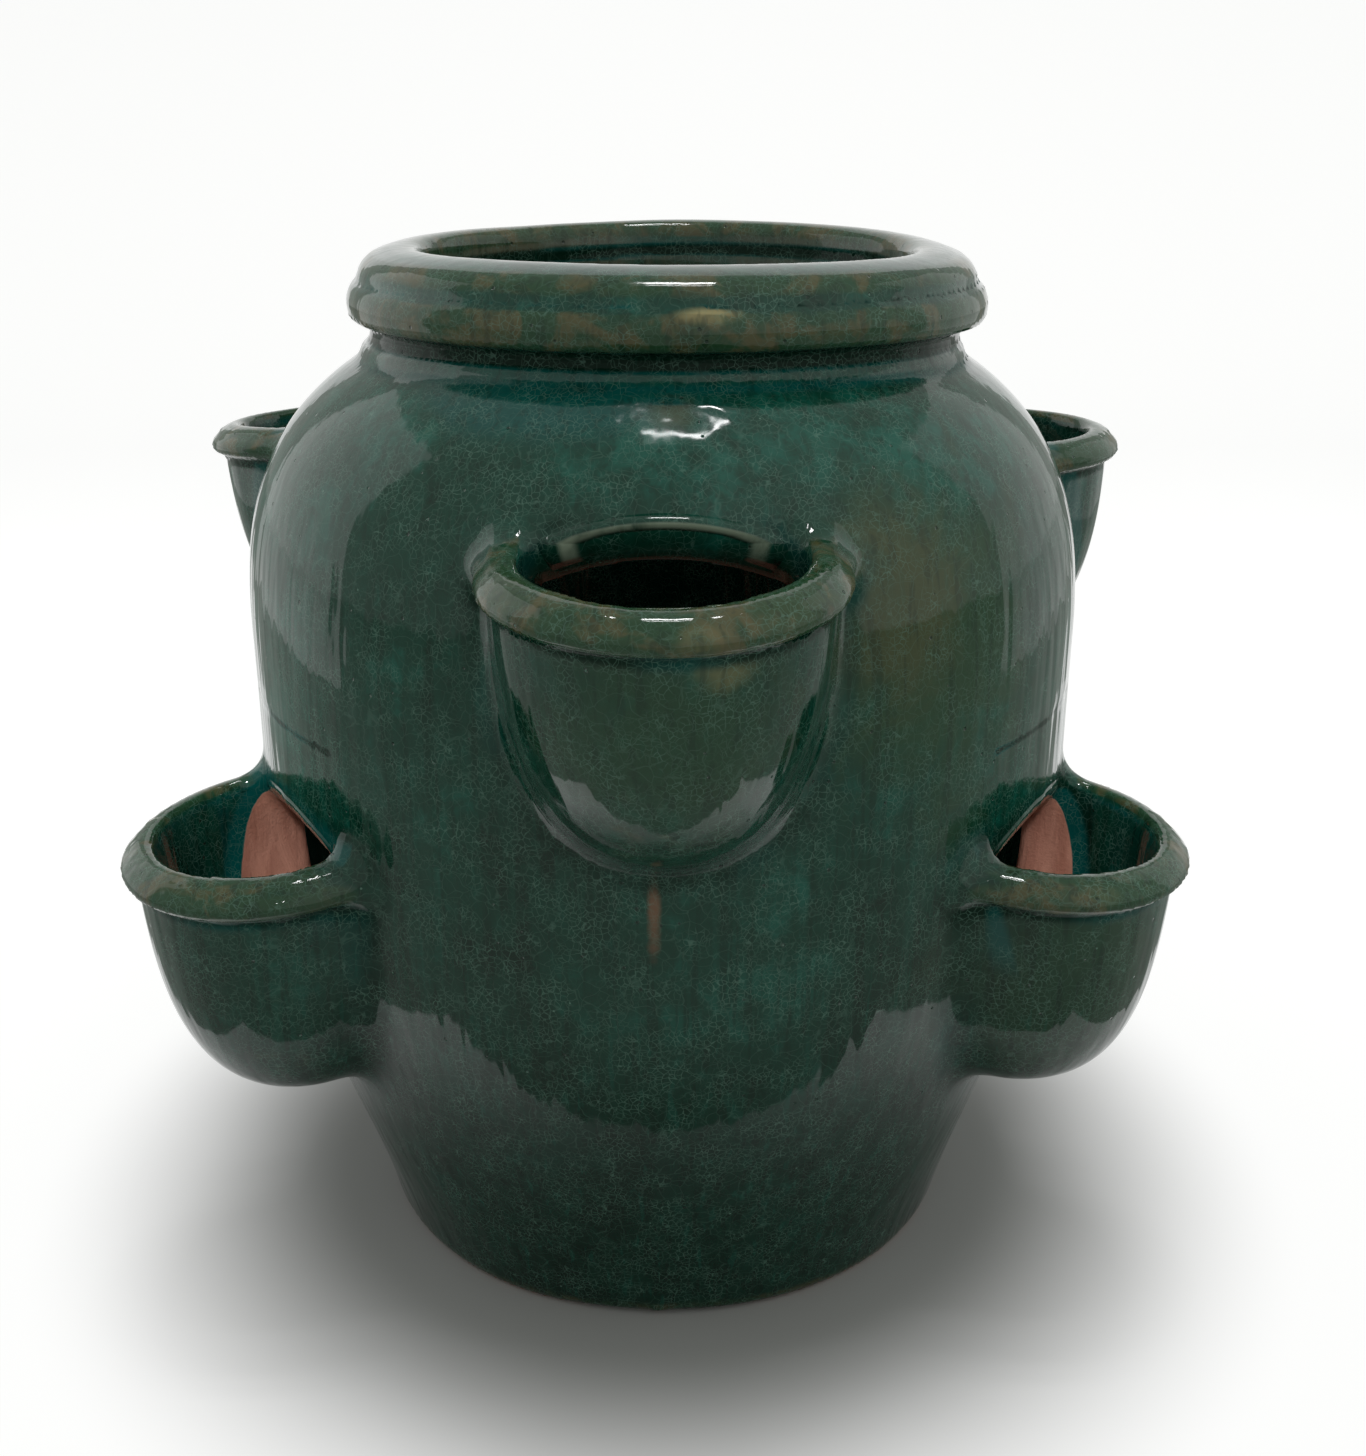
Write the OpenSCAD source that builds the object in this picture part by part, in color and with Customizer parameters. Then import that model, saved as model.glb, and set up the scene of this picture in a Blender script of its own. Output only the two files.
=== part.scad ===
// Strawberry jar planter in glazed terracotta, in millimetres.
// A barrel jar with a rolled rim, three upper and three lower planting pockets.
// The jar is built the way a press-moulding potter builds one: a floor slab, two half
// shells luted at a front and a back seam, a neck collar with a rolled rim, and six
// half-bowl pockets, each with a rolled lip and a coil of clay luted round its root.
// Origin: centre of the foot, on the ground. +Z up, the front upper pocket faces -Y.

/* [Jar] */
// Radius of the foot where the jar stands
foot_r = 98; // [85:1:105]
// Radius of the belly, the widest part of the wall
belly_r = 131; // [122:1:138]
// Height where the swelling lower wall turns upright
belly_low_z = 135; // [125:1:145]
// Height where the upright belly turns into the shoulder
belly_high_z = 205; // [195:1:212]
// Height of the top of the shoulder, where the neck collar stands
shoulder_z = 288; // [282:1:296]
// Thickness of the wall
wall_t = 11; // [8:0.5:14]
// Thickness of the floor slab
base_t = 14; // [10:1:18]
// Radius of the rounded edge of the foot
foot_round = 4; // [2:0.5:6]
// Radius of the drain hole in the floor
drain_r = 11; // [6:0.5:16]

/* [Neck and rim] */
// Radius of the mouth, through rim and collar
mouth_r = 73; // [68:1:76]
// Thickness of the neck collar
collar_t = 17; // [14:1:19]
// Height of the neck that shows between shoulder and rim
neck_rise = 9; // [6:0.5:14]
// Width of the rolled rim, across its section
rim_w = 24.5; // [22:0.5:28]
// Height of the rolled rim
rim_h = 21; // [18:0.5:24]
// How far the roll's widest point lies below its middle
rim_lean = 4.5; // [0:0.5:6]

/* [Pockets] */
// Number of pockets in each of the two rows
pockets_per_row = 3; // [3:1:3]
// How far the upper pockets' lips lie below the top of the shoulder
upper_lip_drop = 36; // [32:1:42]
// How far the lower pockets' lips lie below the upper ones
row_drop = 99; // [95:1:107]
// Outer radius of a pocket's bowl
bowl_r = 43; // [39:0.5:45]
// Depth of a pocket's bowl below its lip
bowl_depth = 80; // [74:1:84]
// Thickness of a pocket's bowl
bowl_t = 7.5; // [6:0.5:9]
// How far the pocket's axis lies inside the belly's radius
pocket_sink = 2.5; // [0:0.5:5]
// Outward tilt of the upper pockets, in degrees
upper_tilt = 5; // [0:1:8]
// Outward tilt of the lower pockets, in degrees
lower_tilt = 2; // [0:1:8]
// Radius of a lip's round section
lip_section_r = 6.2; // [5:0.2:7]
// Width of the clay coil luted round a pocket's root
coil_w = 6; // [3:0.5:8]

/* [Windows into the jar] */
// Half width of the window in the wall behind a pocket
window_half_w = 33; // [28:1:34]
// Height of the window's arch above the lip
arch_rise = 8; // [5:0.5:11]
// Depth of the window below the lip
window_depth = 50; // [42:1:54]

/* [Hidden] */
$fn = 96;

glaze = [0.07, 0.20, 0.15];
glaze_edge = [0.24, 0.23, 0.14];
glaze_root = [0.05, 0.15, 0.13];
terracotta = [0.66, 0.39, 0.31];

// Each pocket: its name, the turn from the front in degrees, the height of its lip, and
// its tilt.
pocket_pitch = 360/pockets_per_row;
upper_lip_z = shoulder_z - upper_lip_drop;
lower_lip_z = upper_lip_z - row_drop;
upper_turn = 0;
lower_turn = pocket_pitch/2;
POCKETS = [["upper_front", upper_turn, upper_lip_z, upper_tilt],
           ["upper_right", upper_turn + pocket_pitch, upper_lip_z, upper_tilt],
           ["upper_left", upper_turn - pocket_pitch, upper_lip_z, upper_tilt],
           ["lower_right", lower_turn, lower_lip_z, lower_tilt],
           ["lower_back", lower_turn + pocket_pitch, lower_lip_z, lower_tilt],
           ["lower_left", lower_turn - pocket_pitch, lower_lip_z, lower_tilt]];

pocket_axis_r = belly_r - pocket_sink;
neck_r = mouth_r + collar_t;
rim_center_r = mouth_r + rim_w/2;
rim_center_z = shoulder_z + neck_rise + rim_h/2;
bowl_squareness = 2.6;      // exponent of the bowl's outline: 2 is round, more is fuller
lip_center_r = bowl_r - 2;  // the lip rides on the bowl's edge and hangs over it outside
coil_steps = 2;             // steps that the coil's slope is made in
through = 30;               // how far a cutter runs past what it cuts
wall_steps = 8;             // points along each curved stretch of the wall
bowl_steps = 12;            // points along a bowl's outline
rim_steps = 32;             // points round the rim's section

// ---- outline of the jar ------------------------------------------------------------

// Point at t on the cubic curve with end points a, d and handles b, c.
function curve(a, b, c, d, t) =
    a*pow(1 - t, 3) + b*3*t*pow(1 - t, 2) + c*3*t*t*(1 - t) + d*pow(t, 3);

// Direction along the same curve at t, as a unit vector.
function along(a, b, c, d, t) =
    let (v = (b - a)*pow(1 - t, 2) + (c - b)*2*t*(1 - t) + (d - c)*t*t) v/norm(v);

// The swelling lower wall, from the foot up, and the shoulder, from the belly in.
lower_wall = [[foot_r, 0], [foot_r + 10, belly_low_z/3],
              [belly_r, belly_low_z*0.63], [belly_r, belly_low_z]];
shoulder_h = shoulder_z - belly_high_z;
shoulder = [[belly_r, belly_high_z], [belly_r, belly_high_z + shoulder_h*0.53],
            [neck_r + 0.7*(belly_r - neck_r), shoulder_z - shoulder_h*0.2],
            [neck_r, shoulder_z]];

// Points [r, z] of one stretch, moved in from the clay's face by inset.
function stretch(s, inset, from = 0) =
    [for (i = [from : wall_steps])
        let (t = i/wall_steps,
             v = along(s[0], s[1], s[2], s[3], t))
        curve(s[0], s[1], s[2], s[3], t) + inset*[-v[1], v[0]]];

// The whole outline of the wall, from the ground to the top of the shoulder.
function outline(inset) = concat(stretch(lower_wall, inset), stretch(shoulder, inset));

// Radius of that outline at height z.
function wall_r(z, inset = 0) = lookup(z, [for (p = outline(inset)) [p[1], p[0]]]);

// The part of that outline between two heights, with its ends worked out.
function outline_between(inset, z0, z1) =
    concat([[wall_r(z0, inset), z0]],
           [for (p = outline(inset)) if (p[1] > z0 + 0.01 && p[1] < z1 - 0.01) p],
           [[wall_r(z1, inset), z1]]);

function reversed(list) = [for (i = [len(list) - 1 : -1 : 0]) list[i]];

// Solid jar between two heights, grown outwards by grow: what the pockets are fitted to.
module jar_solid(z0, z1, grow = 0)
    rotate_extrude()
        polygon(concat([[0, z0]], outline_between(-grow, z0, z1), [[0, z1]]));

// ---- floor, wall, neck and rim ------------------------------------------------------

// Floor slab, with a rounded foot and the drain hole.
module base_slab() color(terracotta) difference() {
    rotate_extrude()
        polygon(concat([[0, 0]], foot_edge(), [[wall_r(base_t), base_t], [0, base_t]]));
    translate([0, 0, -through]) cylinder(r = drain_r, h = base_t + 2*through);
}

// Rounded edge from the flat foot up to the outer wall.
function foot_edge() =
    let (center = [wall_r(foot_round) - foot_round, foot_round])
    [for (a = [-90 : 15 : 0]) center + foot_round*[cos(a), sin(a)]];

// Section of the wall: the outer curve, the seat of the collar, and the inner curve.
module wall_section() {
    inner_top_z = shoulder_z - wall_t;
    polygon(concat(outline_between(0, base_t, shoulder_z),
                   [[mouth_r, shoulder_z], [mouth_r, inner_top_z]],
                   [for (p = reversed(outline_between(wall_t, base_t, inner_top_z)))
                        if (p[0] > mouth_r) p]));
}

// Half of the wall, turned so that its two seams lie at the front and the back.
module half_wall(turn) color(glaze) difference() {
    rotate([0, 0, turn]) rotate_extrude(angle = 180) wall_section();
    for (p = POCKETS) rotate([0, 0, p[1]]) window(p[2]);
}

// Window through the wall behind a pocket: an arch above, round below.
module window(lip_z) {
    arch_r = (pow(window_half_w, 2) + pow(arch_rise, 2))/(2*arch_rise);
    round_z = window_half_w - window_depth;
    translate([0, -pocket_axis_r/2, lip_z]) rotate([90, 0, 0])
        linear_extrude(pocket_axis_r/2 + through) intersection() {
            translate([0, arch_rise - arch_r]) circle(arch_r);
            union() {
                translate([0, round_z]) circle(window_half_w);
                translate([-window_half_w, round_z])
                    square([2*window_half_w, arch_rise - round_z]);
            }
        }
}

// Section of the rolled rim, a flattened circle that leans outward.
module rim_section() {
    half_h = sqrt(pow(rim_h/2, 2) - pow(rim_lean, 2));
    translate([rim_center_r, rim_center_z])
        polygon([for (i = [0 : rim_steps - 1])
            let (a = 360*i/rim_steps)
            [rim_w/2*cos(a), half_h*sin(a) - rim_lean*cos(a)]]);
}

// Collar that stands on the shoulder, hollowed on top to seat the rim.
module neck_collar() color(glaze_root) rotate_extrude() difference() {
    translate([mouth_r, shoulder_z])
        square([collar_t, rim_center_z + rim_lean - shoulder_z]);
    rim_section();
}

module rim_roll() color(glaze_edge) rotate_extrude() rim_section();

// ---- pockets ------------------------------------------------------------------------

// Turns a finished pocket piece from the front to its own side of the jar.
module on_side(p) rotate([0, 0, p[1]]) children();

// Puts a pocket's own frame on the front of the jar: origin at the middle of its lip,
// -Y outwards, tilted out.
module at_lip(p)
    translate([0, -pocket_axis_r, p[2]]) rotate([p[3], 0, 0])
        rotate([0, 0, -90]) children();

// Solid bowl about the pocket's axis. Its edge is at height 0 and it runs straight on up
// to top.
module bowl_solid(r, depth, top = 0)
    rotate_extrude() polygon(concat([[0, top]], top > 0 ? [[r, top]] : [],
        [for (i = [0 : bowl_steps])
            let (a = 90*i/bowl_steps)
            [r*pow(cos(a), 2/bowl_squareness), -depth*pow(sin(a), 2/bowl_squareness)]]));

module lip_ring()
    rotate_extrude() translate([lip_center_r, 0]) circle(lip_section_r);

// The jar's wall beside a pocket, for fitting the pocket to it.
module wall_beside(p, grow = 0)
    jar_solid(max(p[2] - bowl_depth - through, base_t),
              min(p[2] + through, shoulder_z), grow);

// Half-bowl of a pocket, cut to the wall and hollowed on top to seat its lip.
module pocket_bowl(p) color(glaze) on_side(p) difference() {
    at_lip(p) bowl_solid(bowl_r, bowl_depth);
    at_lip(p) bowl_solid(bowl_r - bowl_t, bowl_depth - bowl_t, through);
    at_lip(p) lip_ring();
    wall_beside(p);
}

// Rolled lip round a pocket's mouth, cut to the wall at both ends.
module pocket_lip(p) color(glaze_edge) on_side(p) difference() {
    at_lip(p) lip_ring();
    wall_beside(p);
}

// Clay coil in the corner between bowl and wall, sloped in steps.
module root_coil(p) color(glaze_root) on_side(p) difference() {
    for (k = [1 : coil_steps]) intersection() {
        at_lip(p) bowl_solid(bowl_r + coil_w*k/coil_steps,
                             bowl_depth + coil_w*k/coil_steps);
        wall_beside(p, coil_w*(coil_steps + 1 - k)/coil_steps);
    }
    at_lip(p) bowl_solid(bowl_r, bowl_depth, through);
    at_lip(p) lip_ring();
    wall_beside(p);
}

// ---- what each name draws -------------------------------------------------------------

base_slab();
half_wall(90);  // wall_left
half_wall(-90);  // wall_right
neck_collar();
rim_roll();
for (p = POCKETS) {
    pocket_bowl(p);
    pocket_lip(p);
    root_coil(p);
}
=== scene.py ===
# %% [markdown]
# # A glazed strawberry jar
#
# The jar is one fired pot that a potter puts together from wet pieces of clay: a floor, two
# half shells pressed in a mould, a neck, a rolled rim, and six pockets with rolled lips.
# Glaze runs over all of it, so the joins show only as soft hollows.
#
# The construction model holds those pieces as exact solids with hard corners. This script
# gives them the melted look of fired clay. Three ways were open:
# - subdivision surfaces, which are good for one rounded form but hard where six bowls and
#   their windows break through a wall;
# - bevels and booleans on the exact solids, which leave a visible hard line at each join;
# - a distance field, in which forms flow together by a formula.
#
# The field wins here, because luted clay is just that: forms that flow together. The whole
# jar is described once as a field, skinned once, and only then cut into its pieces, so the
# surface runs on smoothly from each piece to the next.

# %% Load the frame
import math

import bpy
import numpy as np
import openvdb
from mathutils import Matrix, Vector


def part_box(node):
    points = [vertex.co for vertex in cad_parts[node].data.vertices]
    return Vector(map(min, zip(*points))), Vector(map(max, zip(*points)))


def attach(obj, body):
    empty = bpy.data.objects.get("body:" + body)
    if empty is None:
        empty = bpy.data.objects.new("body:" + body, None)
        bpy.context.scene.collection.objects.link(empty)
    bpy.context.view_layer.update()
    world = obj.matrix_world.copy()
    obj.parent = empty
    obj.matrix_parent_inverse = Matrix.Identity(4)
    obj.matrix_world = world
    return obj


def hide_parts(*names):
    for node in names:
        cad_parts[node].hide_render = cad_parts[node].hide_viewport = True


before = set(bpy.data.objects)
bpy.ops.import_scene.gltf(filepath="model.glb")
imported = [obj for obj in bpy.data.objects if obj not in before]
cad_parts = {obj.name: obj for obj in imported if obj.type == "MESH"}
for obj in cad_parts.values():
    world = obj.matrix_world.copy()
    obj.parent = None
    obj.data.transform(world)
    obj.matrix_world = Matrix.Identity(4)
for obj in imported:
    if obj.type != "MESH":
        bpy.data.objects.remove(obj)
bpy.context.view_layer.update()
NODES = sorted(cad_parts)

# %% [markdown]
# ## Sizes
#
# The clay is worked out in millimetres and turned into metres at the end. The large sizes
# are read from the frame, so that the looks can't drift away from the construction. The
# few that a box can't tell, such as a curve's handles, are named here.

# %% Sizes read from the frame, in millimetres
MM = 0.001


def box_mm(node):
    """Lowest and highest corner of a node, in millimetres."""
    low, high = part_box(node)
    return np.array(low)/MM, np.array(high)/MM


wall_low, wall_high = box_mm("wall_right")
rim_low, rim_high = box_mm("rim_roll")
belly_r = wall_high[0]
floor_top = wall_low[2]
shoulder_z = wall_high[2]
neck_r = box_mm("neck_collar")[1][0]
rim_r = rim_high[0]
rim_top = rim_high[2]
rim_bottom = rim_low[2]
print(f"belly {belly_r:.1f}, neck {neck_r:.1f}, rim {rim_r:.1f}, top {rim_top:.1f} mm")

# %% Sizes that a box can't tell, in millimetres
foot_r = 98
foot_round = 4
belly_low_z = 135
belly_high_z = 205
wall_t = 11
mouth_r = 73
pocket_sink = 2.5
bowl_r = 43
bowl_depth = 80
bowl_t = 7.5
bowl_squareness = 2.6
lip_section_r = 6.2
lip_ring_r = bowl_r - 2
window_half_w = 33
arch_rise = 8
window_depth = 50
pocket_axis_r = belly_r - pocket_sink

# %% Where the six pockets sit: turn from the front, height of the lip and tilt
UPPER, LOWER = (252, 5), (153, 2)
POCKETS = {"upper_front": (0, *UPPER), "upper_right": (120, *UPPER),
           "upper_left": (-120, *UPPER), "lower_right": (60, *LOWER),
           "lower_back": (180, *LOWER), "lower_left": (-60, *LOWER)}

# The pockets were set by hand: how far each is off upwards and outwards, and in its tilt.
HAND_RISE = {"upper_right": -1.5, "upper_left": 3.5, "lower_right": 1.0, "lower_left": 2.0}
HAND_REACH = {"upper_right": 3.5, "upper_left": 1.0, "lower_right": 0.5, "lower_left": 5.0}
HAND_TILT = {"upper_right": -6, "lower_right": 2, "lower_left": 2}

# %% [markdown]
# ## Camera
#
# A jar photographed from so near shows strong perspective: its mouth is seen from above and
# its foot almost from the side. The camera's distance and pitch are those at which the rim,
# the pockets and the foot all fall where the photograph has them.

# %% Camera at the photograph's viewing angle
PHOTO_H = 1456
FOCAL_PX = 1642.5
CAMERA_BACK, CAMERA_UP = 520.1, 350.6
PITCH, PAN = math.radians(20.05), math.radians(0.68)

camera_data = bpy.data.cameras.new("camera")
camera_data.sensor_fit = "VERTICAL"
camera_data.sensor_height = 36
camera_data.lens = FOCAL_PX*camera_data.sensor_height/PHOTO_H
camera_data.clip_start = 0.01
camera = bpy.data.objects.new("camera", camera_data)
bpy.context.collection.objects.link(camera)
camera.location = (0, -CAMERA_BACK*MM, CAMERA_UP*MM)
camera.rotation_euler = (math.radians(90) - PITCH, 0, -PAN)
bpy.context.scene.camera = camera
print(f"lens {camera_data.lens:.1f} mm")

# %% [markdown]
# ## The clay as a field
#
# A field gives each point of space one number: how far it is outside the clay, with minus
# for inside. The surface is where the number is zero. Two forms are joined by taking the
# smaller number, and a hollow is cut by taking the larger of the clay and minus the hollow.
# Where the two numbers are nearly alike, a little is taken off or added, and that makes the
# soft fillet of luted clay.

# %% A grid of points round the jar
VOXEL = 1.85
MARGIN = 12
boxes = [box_mm(node) for node in NODES]
grid_low = np.min([low for low, high in boxes], axis=0) - MARGIN
grid_high = np.max([high for low, high in boxes], axis=0) + MARGIN
AXES = [np.arange(lo, hi, VOXEL, dtype=np.float32) for lo, hi in zip(grid_low, grid_high)]
print("grid:", [len(a) for a in AXES])

# %% Joining and cutting with soft corners


def join(a, b, soft):
    """Union of two forms, with a fillet about as wide as soft."""
    near = np.maximum(soft - np.abs(a - b), 0)
    return np.minimum(a, b) - near*near/(4*soft)


def cut(a, b, soft):
    """Form a with form b cut out of it, and the edge rounded by soft."""
    return -join(-a, b, soft)


def meet(a, b, soft):
    """What two forms have in common, with its edge rounded by soft."""
    return -join(-a, -b, soft)


# %% Distance to an outline that is turned on an axis


def outline_distance(outline, r, z):
    """Signed distance of points (r, z) to a closed outline, minus inside."""
    points = np.array(outline, dtype=np.float32)
    nearest = np.full(r.shape, 1e9, dtype=np.float32)
    inside = np.zeros(r.shape, dtype=bool)
    for a, b in zip(points, np.roll(points, -1, axis=0)):
        edge = b - a
        length2 = float(edge @ edge)
        if length2 < 1e-9:
            continue
        t = np.clip(((r - a[0])*edge[0] + (z - a[1])*edge[1])/length2, 0, 1)
        nearest = np.minimum(nearest, (r - a[0] - t*edge[0])**2 + (z - a[1] - t*edge[1])**2)
        if a[1] != b[1]:
            crosses = ((a[1] > z) != (b[1] > z)) & (r < a[0] + (z - a[1])/edge[1]*edge[0])
            inside ^= crosses
    return np.where(inside, -1, 1)*np.sqrt(nearest)


# %% A table of distances, read off at any point


class Table:
    """Distances on a fine grid of (r, z), worked out once and then looked up."""

    STEP = 0.5

    def __init__(self, form, r_range, z_range):
        self.r0, self.z0 = r_range[0], z_range[0]
        r = np.arange(r_range[0], r_range[1], self.STEP, dtype=np.float32)
        z = np.arange(z_range[0], z_range[1], self.STEP, dtype=np.float32)
        self.values = form(*np.meshgrid(r, z, indexing="ij")).astype(np.float32)

    def __call__(self, r, z):
        i = np.clip((r - self.r0)/self.STEP, 0, self.values.shape[0] - 1.001)
        j = np.clip((z - self.z0)/self.STEP, 0, self.values.shape[1] - 1.001)
        i0, j0 = i.astype(np.int32), j.astype(np.int32)
        i -= i0
        j -= j0
        flat = self.values.ravel()
        k = i0*self.values.shape[1] + j0
        low = flat[k]*(1 - j) + flat[k + 1]*j
        k += self.values.shape[1]
        high = flat[k]*(1 - j) + flat[k + 1]*j
        return low*(1 - i) + high*i


# %% [markdown]
# ## The jar's outline
#
# The wall swells from the foot, runs upright through the belly and turns in at the
# shoulder. Two cubic curves with a straight stretch between them draw it, the same curves
# that the construction is made from, here with many more points.

# %% Wall, floor and mouth as outlines
CURVE_STEPS = 24
FOOT_LEAN, FOOT_EASE, BELLY_EASE = 10, 1/3, 0.63
SHOULDER_EASE, NECK_EASE, NECK_TURN = 0.53, 0.2, 0.7


def curve(a, b, c, d):
    """Points and inward normals along the cubic curve with ends a, d and handles b, c."""
    a, b, c, d = (np.array(p, dtype=float) for p in (a, b, c, d))
    t = np.linspace(0, 1, CURVE_STEPS)[:, None]
    points = a*(1 - t)**3 + 3*b*t*(1 - t)**2 + 3*c*t*t*(1 - t) + d*t**3
    along = (b - a)*(1 - t)**2 + 2*(c - b)*t*(1 - t) + (d - c)*t*t
    along /= np.linalg.norm(along, axis=1)[:, None]
    return points, np.stack([-along[:, 1], along[:, 0]], axis=1)


shoulder_h = shoulder_z - belly_high_z
lower_wall = curve((foot_r, 0), (foot_r + FOOT_LEAN, belly_low_z*FOOT_EASE),
                   (belly_r, belly_low_z*BELLY_EASE), (belly_r, belly_low_z))
shoulder = curve((belly_r, belly_high_z), (belly_r, belly_high_z + shoulder_h*SHOULDER_EASE),
                 (neck_r + NECK_TURN*(belly_r - neck_r), shoulder_z - shoulder_h*NECK_EASE),
                 (neck_r, shoulder_z))


def wall_outline(inset=0):
    """Points (r, z) of the wall from the ground to the shoulder's top, moved in by inset."""
    return np.concatenate([points + inset*inward for points, inward in (lower_wall, shoulder)])


# %% The solid jar, and its rolled rim
rim_mid_z = (rim_top + rim_bottom)/2
RIM_FLOW, NECK_FLOW, NECK_DOWN, RIM_ROUND = 2.5, 5, 20, 2.2
BEAD_R, BEAD_OUT, BEAD_UP, BEAD_FLOW = 1.3, 0.8, 0.6, 2.5


def rim_outline():
    """The rolled rim cut across: a flat top, a crease around its face and a fuller roll below."""
    inner, outer = mouth_r + RIM_ROUND, rim_r - RIM_ROUND
    top, low = rim_top - RIM_ROUND, rim_bottom + RIM_ROUND
    return [(inner, top - 1.8), (inner + 1.5, top - 0.3), (inner + 4, top),
            (inner + 8, top - 0.4), (inner + 13, top - 1.8), (outer - 5.0, top - 3.4),
            (outer - 3.9, top - 5.4), (outer - 4.7, top - 7.4), (outer - 1.3, top - 9.6),
            (outer - 0.2, top - 12.6), (outer - 0.6, low + 0.6), (outer - 3, low), (inner, low)]


def solid_jar(r, z):
    """Field of the jar with nothing hollowed out."""
    wall = list(wall_outline()) + [(0, shoulder_z), (0, 0)]
    neck_low = shoulder_z - NECK_DOWN
    neck = [(0, neck_low), (neck_r, neck_low), (neck_r, rim_mid_z), (0, rim_mid_z)]
    body = join(outline_distance(wall, r, z), outline_distance(neck, r, z), NECK_FLOW)
    bead = np.hypot(r - neck_r - BEAD_OUT, z - (shoulder_z + BEAD_UP)) - BEAD_R
    body = join(body, bead, BEAD_FLOW)
    body = join(body, outline_distance(rim_outline(), r, z) - RIM_ROUND, RIM_FLOW)
    ground = -z
    return meet(body, ground, foot_round)


# %% The hollow inside the jar
FLOOR_COVE, MOUTH_SOFT = 14, 6
BELLY_FROM, MOUTH_FROM, MOUTH_PAST = -20, 60, 40


def hollow_jar(r, z):
    """Field of the space inside: the belly, and the mouth straight up from it."""
    inner_top = shoulder_z - wall_t
    inner = [p for p in wall_outline(wall_t) if p[1] < inner_top]
    belly = outline_distance([(0, BELLY_FROM), (inner[0][0], BELLY_FROM)] + inner
                             + [(mouth_r - 5, inner_top), (0, inner_top)], r, z)
    above_floor = floor_top - z
    belly = meet(belly, above_floor, FLOOR_COVE)
    low, high = floor_top + MOUTH_FROM, rim_top + MOUTH_PAST
    mouth = outline_distance([(0, low), (mouth_r, low), (mouth_r, high), (0, high)], r, z)
    return join(belly, mouth, MOUTH_SOFT)


table_r, table_z = (0, 1.5*belly_r), (-3*MARGIN, rim_top + 3*MARGIN)
jar_table = Table(solid_jar, table_r, table_z)
hollow_table = Table(hollow_jar, table_r, table_z)
print("tables:", jar_table.values.shape)

# %% [markdown]
# ## Pockets
#
# Each pocket is a half-bowl with a rolled lip. It is a little squarer than a ball: its side
# stays upright for a while and then turns in, which a superellipse draws with one exponent.
# A second table holds that outline about the pocket's own axis.

# %% Bowl and lip as outlines
BOWL_STEPS = 32
LIP_FLOW, LIP_ROUND = 2.0, 1.4
LOW_SQUARENESS = 3.3
BOWL_TOP, OPEN_TOP = -3, 60


def bowl_outline(r, depth, top, squareness=bowl_squareness):
    """Closed outline of a bowl with its edge at height 0, run straight up to top."""
    turns = np.linspace(0, np.pi/2, BOWL_STEPS)
    power = 2/squareness
    side = [(r*max(math.cos(a), 0)**power, -depth*math.sin(a)**power) for a in turns]
    return [(0, top), (r, top)] + side


def lip_outline():
    """The lip cut across, about its ring: a flat top, a face that leans out, a rounded edge."""
    inner, outer = -5.5 + LIP_ROUND, lip_section_r - LIP_ROUND
    return [(inner, -0.3), (-1.5, -0.4), (outer - 5.4, -0.9), (outer - 0.8, -4.2),
            (outer, -5.8), (outer - 0.7, -7.1), (inner, -7.6)]


def solid_pocket(r, z, squareness=bowl_squareness):
    """Field of a filled bowl with its lip."""
    bowl = outline_distance(bowl_outline(bowl_r, bowl_depth, BOWL_TOP, squareness), r, z)
    lip = outline_distance(lip_outline(), r - lip_ring_r, z) - LIP_ROUND
    return join(bowl, lip, LIP_FLOW)


def hollow_pocket(r, z):
    """Field of the space in a bowl, open at the top."""
    return outline_distance(bowl_outline(bowl_r - bowl_t, bowl_depth - bowl_t, OPEN_TOP), r, z)


pocket_r, pocket_z = (0, 2.2*bowl_r), (-1.5*bowl_depth, bowl_depth)
pocket_table = Table(solid_pocket, pocket_r, pocket_z)
low_pocket_table = Table(lambda r, z: solid_pocket(r, z, LOW_SQUARENESS), pocket_r, pocket_z)
pocket_hollow_table = Table(hollow_pocket, pocket_r, pocket_z)

# %% A pocket's own axes


def pocket_axes(name, x, y, z):
    """Sideways, outward and upward distance of points from the middle of a pocket's lip."""
    turn, lip_z = math.radians(POCKETS[name][0]), POCKETS[name][1] + HAND_RISE.get(name, 0)
    side = x*math.cos(turn) + y*math.sin(turn)
    out = x*math.sin(turn) - y*math.cos(turn) - pocket_axis_r - HAND_REACH.get(name, 0)
    up = z - lip_z
    tilt = math.radians(POCKETS[name][2] + HAND_TILT.get(name, 0))
    tilted_out = out*math.cos(tilt) - up*math.sin(tilt)
    tilted_up = out*math.sin(tilt) + up*math.cos(tilt)
    return side, tilted_out, tilted_up, out, up


# %% The window in the wall behind a pocket
arch_r = (window_half_w**2 + arch_rise**2)/(2*arch_rise)
WINDOW_LEAN, WINDOW_WIDER, WINDOW_ROUND = 6, 2.5, 5


def window_shape(side, up, drop):
    """Distance to the window's outline: a shallow arch, lowered by drop, and round below."""
    arch = np.hypot(side, up + drop - arch_rise + arch_r) - arch_r
    round_z = window_half_w - window_depth
    below = np.where(up < round_z, np.abs(up - round_z), 0)
    wider = np.clip(-up/WINDOW_LEAN, 0, WINDOW_WIDER)
    stadium = np.hypot(side, below) - window_half_w - wider
    return meet(arch, stadium, WINDOW_ROUND)


# %% [markdown]
# ## The hand in the clay
#
# Nothing on the jar is quite true: the wall is pressed by hand, the rolls are wavy, and the
# glaze has run. Smooth random lumps in a few sizes give that. They come from coarse grids
# of random numbers, drawn out smoothly to the fine grid, which costs next to nothing.

# %% Smooth random lumps
random = np.random.default_rng(7)
LUMP_HEIGHT = 2.2


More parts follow.
